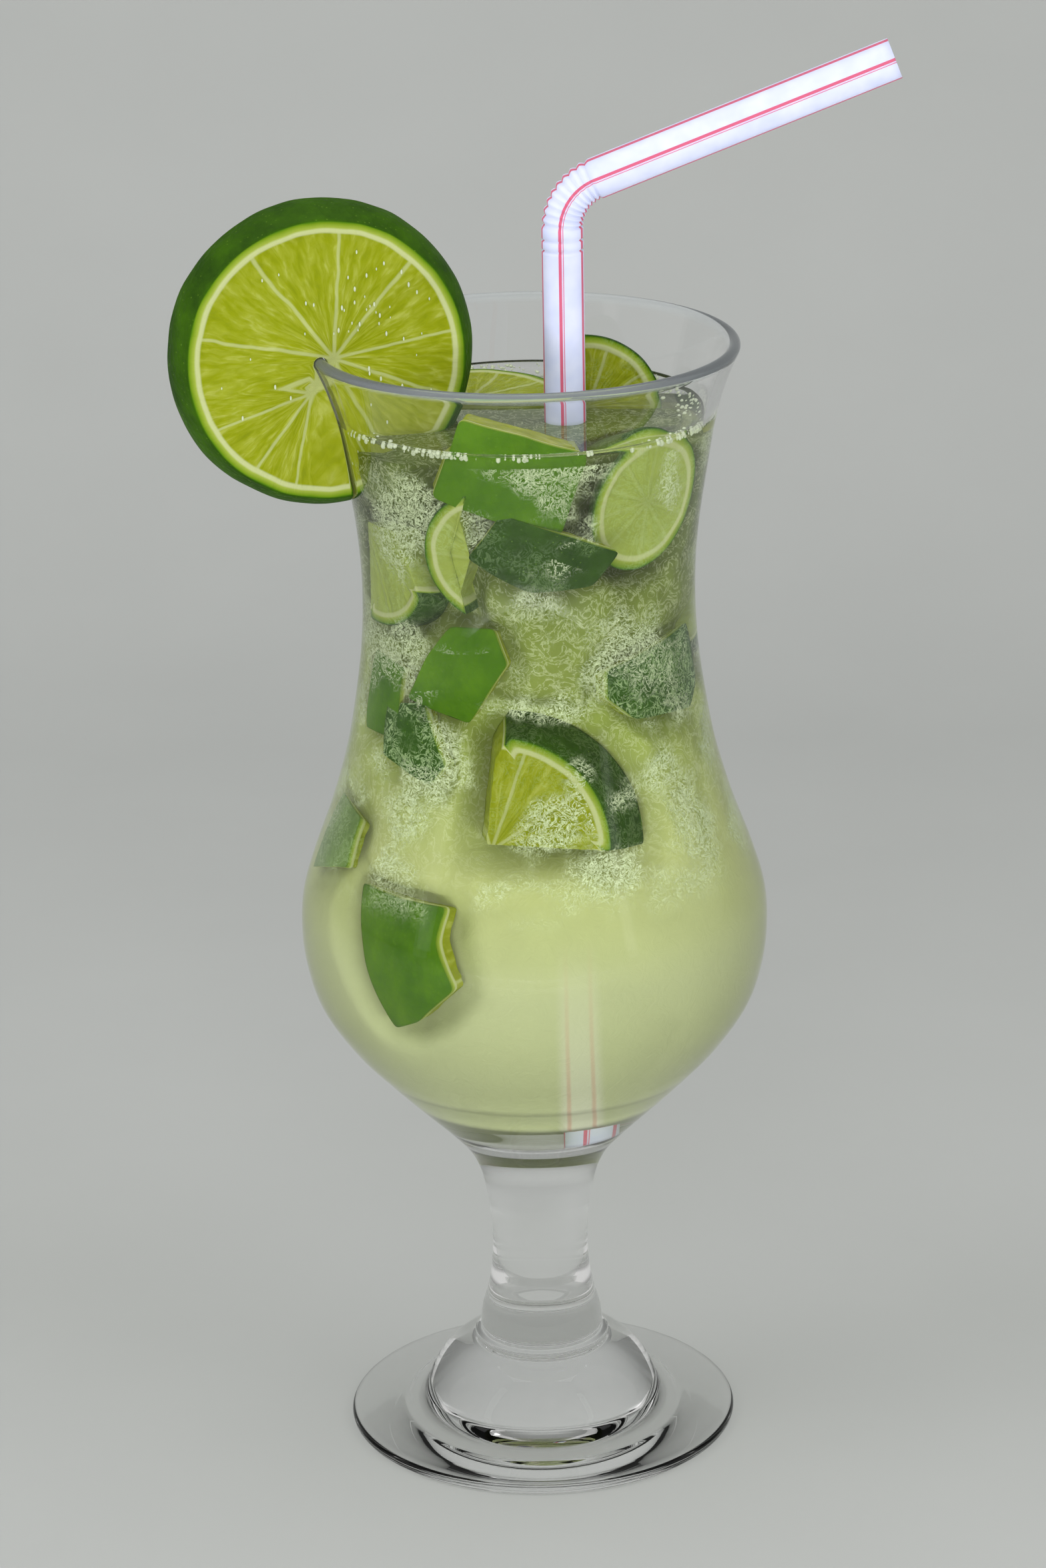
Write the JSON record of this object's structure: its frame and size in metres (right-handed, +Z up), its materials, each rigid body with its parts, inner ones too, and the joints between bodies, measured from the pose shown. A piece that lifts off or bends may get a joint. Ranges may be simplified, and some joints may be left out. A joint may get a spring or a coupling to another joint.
{
  "type": "mojito cocktail in hurricane glass",
  "caption": "Mojito in a footed, waisted cocktail glass with a lime wheel on the rim, lime pieces in a cloudy green drink and a striped bendy straw.",
  "frame": {"origin": "centre of the foot's underside, on the glass's axis", "axes": "+Z up along the glass's axis; the straw bends to +X, the lime wheel hangs on the rim at -X, -Y is the front"},
  "size_m": [0.1259, 0.0832, 0.2542],
  "materials": {
    "clear_glass": "clear, polished",
    "drink": "cloudy yellow-green liquid",
    "straw_plastic": "white with thin pink lengthwise stripes",
    "lime": "wet cut lime flesh with a dark green rind"
  },
  "bodies": {
    "root": {"glass": "clear_glass", "drink": "drink", "straw": "straw_plastic", "lime_wheel": "lime", "lime_chunk_front": "lime", "lime_slice_back": "lime", "lime_slice_afloat": "lime", "lime_end_right": "lime"}
  },
  "joints": []
}
